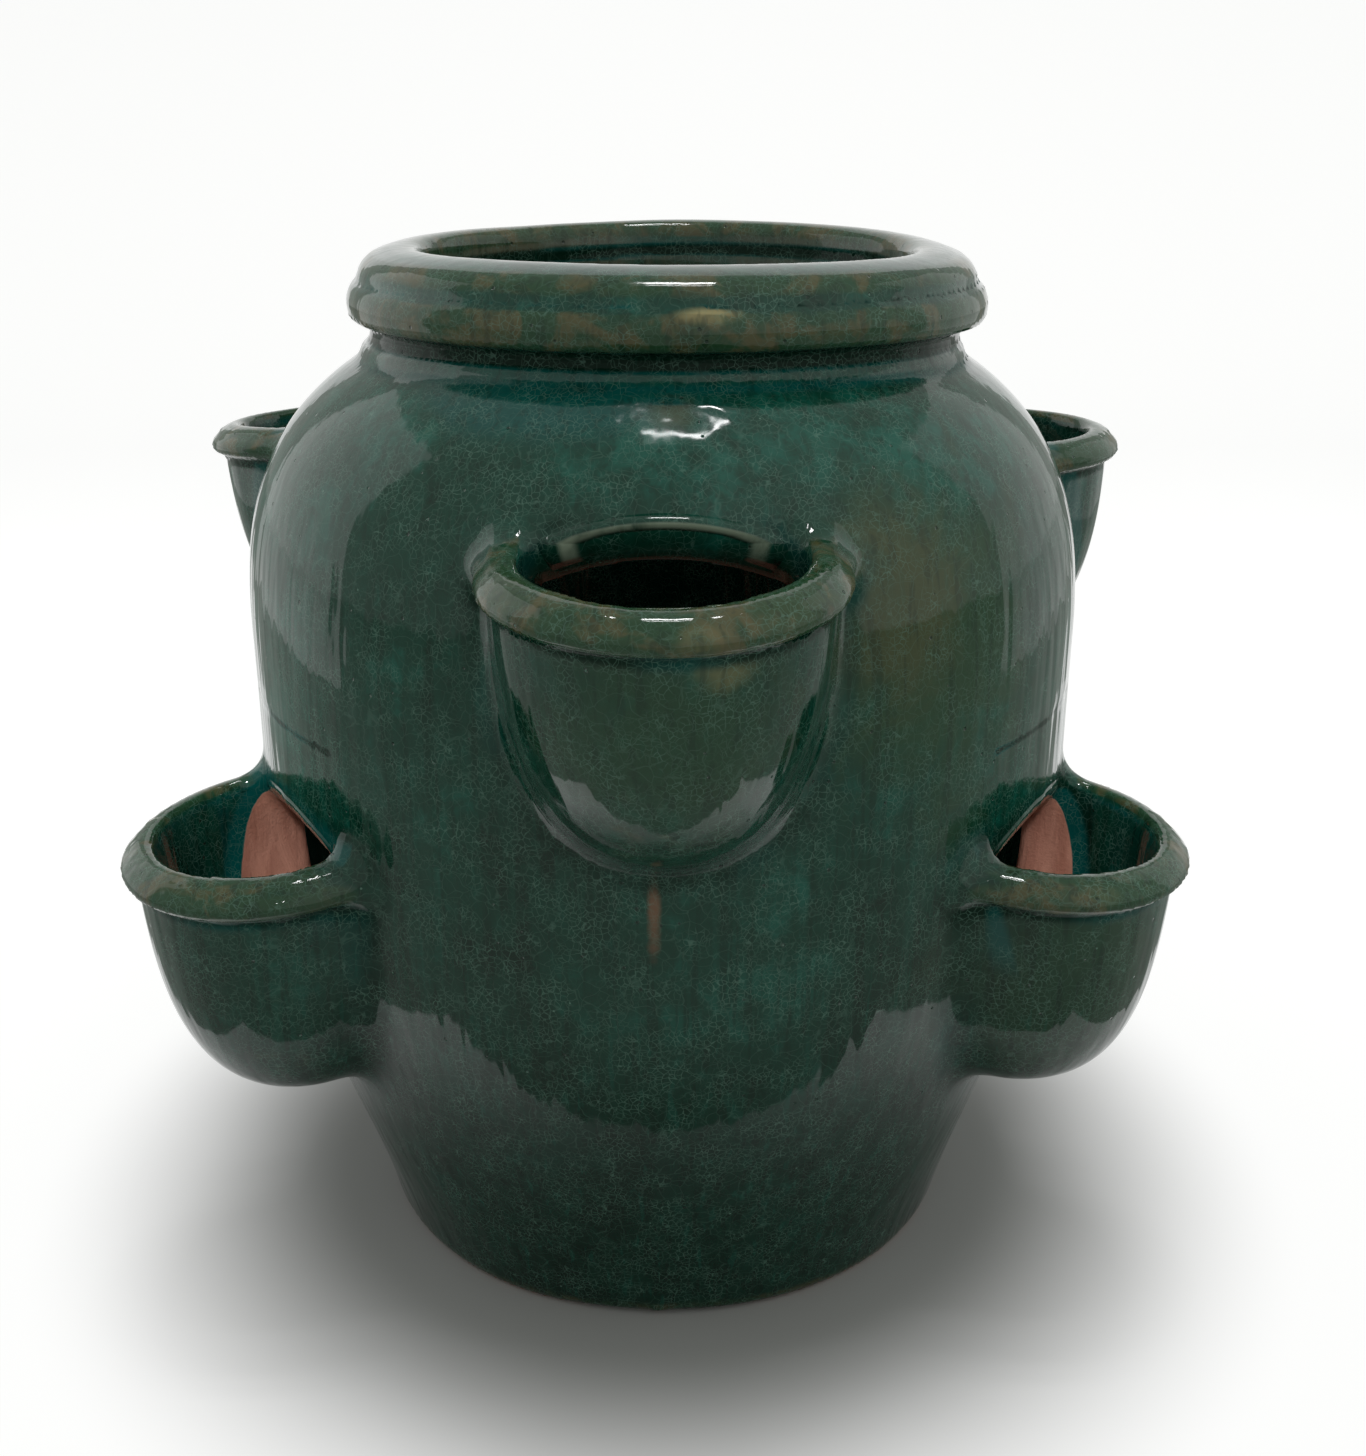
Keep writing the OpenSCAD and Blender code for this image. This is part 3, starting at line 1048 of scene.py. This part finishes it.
def marked(f, colour):
    """Each place in MARKS tinted, with a cloudy border."""
    for middle, reach, tint, amount in MARKS:
        away = f.add("ShaderNodeVectorMath", [f.mm, middle], operation="SUBTRACT").outputs[0]
        away = f.add("ShaderNodeVectorMath", [away, reach], operation="DIVIDE").outputs[0]
        away = f.add("ShaderNodeVectorMath", [away], operation="LENGTH").outputs["Value"]
        near = f.step(f.total(away, f.swing(f.clouds, 1.8)), 1.25, 0.35)
        colour = f.stain(near, amount, colour, tint)
    return colour


# %% [markdown]
# ### Thin and deep
#
# This is where the curl of the surface comes in. Ridges and edges wear moss and olive, and
# hollows fill with teal, over which painted shade goes nearly black where they are deepest.
# Long streaks then run down over both, and painted shade makes the foot darker than the belly.

# %% Worn ridges, teal pools, runs, and painted shade in the creases, at the foot and inside the jar


def thin_and_deep(f, colour):
    """Moss and olive on the ridges, teal in the hollows, and painted shade nearly black in the
    deepest.
    """
    thin = f.total(f.curl, f.swing(f.clouds, 0.9), f.times(f.edge, 0.25))
    worn = f.times(f.step(thin, 0.18, 0.55), f.step(f.arch, 3.0, 9.0))
    clear = f.math("MAXIMUM", f.step(f.inside, 2.5, 6.0), f.step(f.height, 270.0, 290.0))
    stained = f.step(f.noise(15, 3.0, 0.6, 0.8), 0.47, 0.63)
    colour = f.stain(f.times(worn, clear), 0.85, colour, f.mix(stained, MOSS, OLIVE))
    # In the hollows, teal pools of glaze mix with painted shade in near black, and the deepest
    # creases are painted near black as shade.
    teal_pool_and_shade = f.mix(f.step(f.patches, 0.42, 0.58), NIGHT, TEAL)
    colour = f.stain(f.step(f.deep, -0.05, -0.40), 0.9, colour, teal_pool_and_shade)
    return f.mix(f.step(f.deep, -0.30, -0.75), colour, NIGHT)


def run_down(f, colour):
    """Painted shade that darkens the jar towards the foot, and dark and pale streaks that run
    down the jar.
    """
    # Painted shade: near black laid over the lower jar.
    colour = f.stain(f.foot, 0.55, colour, NIGHT)
    streaks = f.noise((3.0, 3.0, 70), 2.0, 0.6, 0.2)
    dark_run = f.times(f.step(streaks, 0.52, 0.64), f.blend(f.foot, 0.35, 0.7))
    colour = f.mix(dark_run, colour, NIGHT)
    pale_run = f.times(f.step(streaks, 0.40, 0.30), f.blend(f.foot, 0.10, 0.3))
    return f.mix(pale_run, colour, SEA_GREEN)


def inside_jar(f, colour):
    """Painted shade, near black, on the glaze inside the jar, and a strip of teal where the glaze
    ends at bare clay.
    """
    # Painted shade on the inner wall below the mouth.
    inner_shade = f.times(f.step(f.inside, 6.0, 1.0), f.step(f.height, 285.0, 255.0))
    colour = f.stain(inner_shade, 0.9, colour, NIGHT)
    strip = f.times(f.step(f.unglazed, 9.0, 6.0), f.step(f.height, 60.0, 100.0))
    return f.stain(strip, 0.8, colour, TEAL)


# %% [markdown]
# ### Crackle and pits
#
# A cooling glaze shrinks more than its clay and cracks into small cells, and gas leaves
# pin-holes. The borders of Voronoi cells are just such a net, and the middles of a few cells
# make the pits. A pale line follows each window's arch, partly where the glaze drew back and
# partly as a painted highlight along the arch's edge.

# %% Cracks, pits, and the pale line and painted highlight of each arch


def crackled(f, colour):
    """Fine pale cracks in patches, and a wider net of faint ones."""
    crack = f.step(f.cells(1.8, "DISTANCE_TO_EDGE", 0.9), 0.07, 0.0)
    crack = f.times(crack, f.step(f.noise(9, 3.0, 0.6), 0.36, 0.62))
    wide_crack = f.step(f.cells(4.6, "DISTANCE_TO_EDGE", 1.4), 0.035, 0.0)
    crack = f.math("MAXIMUM", crack, f.times(wide_crack, 0.40))
    return f.stain(crack, 0.42, colour, CRACK)


def arch_line_and_highlight(f, colour):
    """The pale line along the arch of each window, partly thin glaze and partly a painted
    highlight.
    """
    off_line = f.math("ABSOLUTE", f.math("SUBTRACT", f.arch, 1.2))
    # Partly a pale line of thin glaze, partly a painted highlight along the edge of the arch.
    line = f.times(f.step(off_line, 1.1, 0.3), f.step(f.clouds, 0.30, 0.55))
    return f.stain(f.times(line, f.on_wall), 0.75, colour, PALE)


def pitted(f, colour):
    """Dark pits and pale specks, in the middle of cells picked at random."""
    speck = f.times(f.step(f.spot, 0.075, 0.04), f.step(f.pick.outputs[1], 0.8, 0.82))
    colour = f.stain(f.pit, 0.75, colour, NIGHT)
    return f.stain(speck, 0.6, colour, CRACK)


# %% [markdown]
# ### Bare clay, and relief
#
# Little glaze got into the pockets at the sides of the windows, and none is left under the
# foot, so streaked bare terracotta shows there. It is rough where glaze is glossy. The relief
# is a height in millimetres, and it is only for what is too fine for the mesh: soft drips,
# pits, streaks, and a crisper crest for the brow that the mesh already has over each arch.

# %% Bare terracotta, and the relief of the glaze


def bare_clay(f):
    """Where the clay is bare, and the colour and relief that it has there."""
    bare = f.step(f.total(f.unglazed, f.swing(f.clouds, 3.0)), 1.6, 1.0)
    under = f.step(f.total(f.height, f.grain), 1.9, 1.3)
    streaks = f.noise((7, 7, 45), 4.0, 0.65, 0.5)
    colour = f.mix(f.step(streaks, 0.35, 0.68), CLAY, CLAY_DARK)
    colour = f.mix(f.step(f.grain, 0.66, 0.8), colour, CLAY_DARK)
    relief = f.total(f.times(f.noise(1.4, 3.0, 0.65), 0.35), f.times(streaks, 0.8))
    return f.math("MAXIMUM", bare, under), colour, relief


def glaze_relief(f):
    """Drips, a crest along each arch, and pits."""
    drips = f.noise((5.0, 5.0, 42), 1.0, 0.4, 0.2)
    relief = f.total(f.times(f.noise(14.0, 1.0, 0.35), 0.10), f.times(drips, 0.36))
    relief = f.times(relief, f.blend(f.step(f.height, 225.0, 260.0), 1.0, 0.3))
    off_crest = f.times(f.math("SUBTRACT", f.arch, BROW_OUT), 1/BROW_R)
    crest = f.math("SUBTRACT", 1.0, f.times(off_crest, off_crest))
    crest = f.times(f.math("MAXIMUM", crest, 0.0), f.on_wall)
    relief = f.total(relief, f.times(crest, 1.3))
    return f.math("SUBTRACT", relief, f.times(f.pit, 0.18))


# %% The whole finish


def glazed_terracotta():
    """Glaze in layers, each over the one before, and bare clay where there is none."""
    f = Finish("glazed_terracotta")
    colour = melt(f)
    for layer in (marked, thin_and_deep, run_down, inside_jar, crackled, arch_line_and_highlight, pitted):
        colour = layer(f, colour)
    bare, clay_colour, clay_relief = bare_clay(f)
    colour = f.mix(bare, colour, clay_colour)
    gloss = f.blend(f.step(f.clouds, 0.3, 0.8), 0.04, 0.12)
    relief = f.blend(bare, glaze_relief(f), clay_relief)
    normal = f.add("ShaderNodeBump", {"Height": relief, "Distance": MM, "Strength": 1.0})
    # Painted shade on the reflections: less specular in the creases, and less on the lower jar.
    sheen = f.blend(f.step(f.deep, -0.10, -0.45), 0.5, 0.12)
    sheen = f.blend(f.step(f.height, 135.0, 80.0), sheen, 0.24)
    shader = f.add("ShaderNodeBsdfPrincipled",
                   {"Base Color": colour, "Roughness": f.blend(bare, gloss, 0.85),
                    "Normal": normal.outputs[0], "Specular IOR Level": sheen})
    f.add("ShaderNodeOutputMaterial", [shader.outputs[0]])
    return f.material


glaze = glazed_terracotta()
print("finish:", len(glaze.node_tree.nodes), "nodes")

# %% Each piece takes the place of its node
for node_name, piece in pieces.items():
    piece.name = "clay_" + node_name
    dress(piece, glaze)
    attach(piece, "root")
    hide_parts(node_name)
print("dressed", len(pieces), "pieces")

# %% [markdown]
# ## Floor, backdrop and light
#
# The jar stands on a sheet of pale paper that widens away from the camera and curves up
# behind it. Under the paper is a plain pale grey floor, which the glaze mirrors as a soft
# grey veil. Three tubes hang straight above, and their mirror image is the row of bright
# lines on each upper edge. On either side a dim panel gives the flanks their grey shine.
# Two narrow spots reach the bare clay in the lower pockets, and an even room fills the
# rest. Lamps with an area give soft shadows, where a point or a sun would draw hard ones.

# %% Paper sweep, in metres
PAPER_FRONT, PAPER_BACK, PAPER_BEND, PAPER_TOP = -0.166, 2.2, 0.8, 3.0
PAPER_SPREAD, EYE_BACK, EYE_UP = 0.437, 0.520, 0.351


def paper_half_w(y):
    """Half the paper's width, which keeps just outside the camera's picture."""
    return PAPER_SPREAD*((y + EYE_BACK)*math.cos(PITCH) + EYE_UP*math.sin(PITCH))


def staged(name, points, faces):
    """A sheet of the set, which isn't part of the jar."""
    mesh = bpy.data.meshes.new(name)
    mesh.from_pydata(points, [], faces)
    mesh.shade_smooth()
    sheet = bpy.data.objects.new(name, mesh)
    bpy.context.collection.objects.link(sheet)
    return sheet


def paper_sweep():
    """Paper that reaches out under the jar and curves up behind it, as one smooth sheet."""
    turns = np.linspace(0, math.pi/2, 24)
    profile = [(PAPER_FRONT, 0), (0, 0)]
    profile += [(PAPER_BACK - PAPER_BEND + PAPER_BEND*math.sin(a),
                 PAPER_BEND*(1 - math.cos(a))) for a in turns]
    profile.append((PAPER_BACK, PAPER_TOP))
    points = [(side*paper_half_w(y), y, z) for y, z in profile for side in (-1, 1)]
    faces = [(2*i, 2*i + 1, 2*i + 3, 2*i + 2) for i in range(len(profile) - 1)]
    return staged("paper_sweep", points, faces)


# %% Pale paper, which glows more from GLOW_NEAR to GLOW_FAR millimetres off the jar's middle
PAPER, PAPER_BOUNCE, PAPER_GLOW = 0.40, 0.30, 0.75
GLOW_NEAR, GLOW_FAR = 112, 225


def paper():
    """Pale matt paper. Its own glow keeps it near white where the lamps don't reach."""
    r = Recipe("pale_paper")
    rays = r.add("ShaderNodeLightPath").outputs
    seen = r.math("MAXIMUM", rays["Is Camera Ray"], rays["Is Glossy Ray"])
    seen = r.math("MAXIMUM", seen, rays["Is Transmission Ray"])
    colour = r.mix(seen, (PAPER_BOUNCE,)*3, (PAPER,)*3)
    away = r.add("ShaderNodeVectorMath", [r.mm], operation="LENGTH").outputs["Value"]
    glow = r.times(r.step(away, GLOW_NEAR, GLOW_FAR), PAPER_GLOW)
    shader = r.add("ShaderNodeBsdfPrincipled",
                   {"Base Color": colour, "Roughness": 0.9, "Specular IOR Level": 0.0,
                    "Emission Color": (1, 1, 1, 1),
                    "Emission Strength": r.times(seen, glow)})
    r.add("ShaderNodeOutputMaterial", [shader.outputs[0]])
    return r.material


sweep = paper_sweep()
sweep.data.materials.append(paper())
print("paper:", len(sweep.data.polygons), "faces")

# %% Plain floor under the paper
FLOOR_HALF_W, FLOOR_Z = 4, -0.004
FLOOR_GREY = (0.52, 0.54, 0.52)


def matt(name, colour):
    """One plain matt colour."""
    r = Recipe(name)
    shader = r.add("ShaderNodeBsdfDiffuse", {"Color": (*colour, 1.0)})
    r.add("ShaderNodeOutputMaterial", [shader.outputs[0]])
    return r.material


signs = ((-1, -1), (1, -1), (1, 1), (-1, 1))
square = [(FLOOR_HALF_W*a, FLOOR_HALF_W*b, FLOOR_Z) for a, b in signs]
floor = staged("pale_floor", square, [(0, 1, 2, 3)])
floor.data.materials.append(matt("pale_grey", FLOOR_GREY))
print("floor:", 2*FLOOR_HALF_W, "m wide")

# %% Lamps: tubes above, a panel on either side, and a spot for each lower pocket in front
TUBE_X, TUBE_Z, TUBE_SIZE = 0.09, 3.3, (0.60, 0.090)
PANEL_Z, PANEL_SIZE = 0.50, (0.86, 1.00)
SPOT_WATTS, SPOT_ANGLE = 6, math.radians(7)


def hang(name, data, place, aim):
    """Hangs a lamp at place, turned to face aim."""
    lamp = bpy.data.objects.new(name, data)
    bpy.context.collection.objects.link(lamp)
    lamp.location = place
    away = np.array(place) - np.array(aim)
    level = math.hypot(away[0], away[1])
    lamp.rotation_euler = (math.atan2(level, away[2]), 0,
                           math.atan2(away[0], -away[1]) if level else 0)


def soft_box(name, place, aim, size, radiance):
    """A rectangular lamp at place that faces aim, as bright as radiance times white."""
    data = bpy.data.lights.new(name, "AREA")
    data.shape = "RECTANGLE"
    data.size, data.size_y = size
    data.energy = radiance*math.pi*size[0]*size[1]
    hang(name, data, place, aim)


def spot(name, place, aim):
    """A narrow lamp that lights one pocket from above the camera."""
    data = bpy.data.lights.new(name, "SPOT")
    data.energy, data.shadow_soft_size = SPOT_WATTS, 0.02
    data.spot_size, data.spot_blend = SPOT_ANGLE, 0.8
    hang(name, data, place, aim)


for tube, (y, glare) in enumerate([(0.30, 45), (0.12, 45), (-0.30, 25)]):
    soft_box(f"tube_{tube}", (TUBE_X, y, TUBE_Z), (TUBE_X, y, 0), TUBE_SIZE, glare)
for name, x, y, glare in (("left_panel", -0.80, 0.40, 0.55), ("right_panel", 0.80, 0.50, 0.35)):
    soft_box(name, (x, y, PANEL_Z), (0, y, PANEL_Z), PANEL_SIZE, glare)
for name, x, aim_x in (("left_spot", -0.12, -0.127), ("right_spot", 0.12, 0.127)):
    spot(name, (x, -0.50, 0.55), (aim_x, -0.034, 0.135))
print("lamps:", len(bpy.data.lights))

# %% The room around the set
ROOM, ROOM_RIGHT = 0.45, 0.62
ROOM_COLOUR = (0.97, 1.0, 0.94)


def room():
    """An evenly lit room, a little brighter to the right in front."""
    world = bpy.data.worlds.new("room")
    world.use_nodes = True
    nodes, links = world.node_tree.nodes, world.node_tree.links
    axes = nodes.new("ShaderNodeSeparateXYZ")
    links.new(nodes.new("ShaderNodeTexCoord").outputs["Generated"], axes.inputs[0])

    def ramp(axis, low, high, full=None):
        """Strength from ROOM at low to full, or else ROOM_RIGHT, at high along an axis."""
        node = nodes.new("ShaderNodeMapRange")
        node.interpolation_type = "SMOOTHSTEP"
        links.new(axes.outputs[axis], node.inputs[0])
        for socket, value in zip(node.inputs[1:5], (low, high, ROOM, ROOM_RIGHT)):
            socket.default_value = value
        if full:
            links.new(full, node.inputs[4])
        return node.outputs[0]

    in_front = ramp("Y", 0.3, -0.1)
    strength = ramp("X", 0.02, 0.25, in_front)
    background = nodes["Background"]
    background.inputs["Color"].default_value = (*ROOM_COLOUR, 1)
    links.new(strength, background.inputs["Strength"])
    return world


bpy.context.scene.world = room()
bpy.context.scene.view_settings.view_transform = "Standard"
print("room:", ROOM, "to", ROOM_RIGHT)
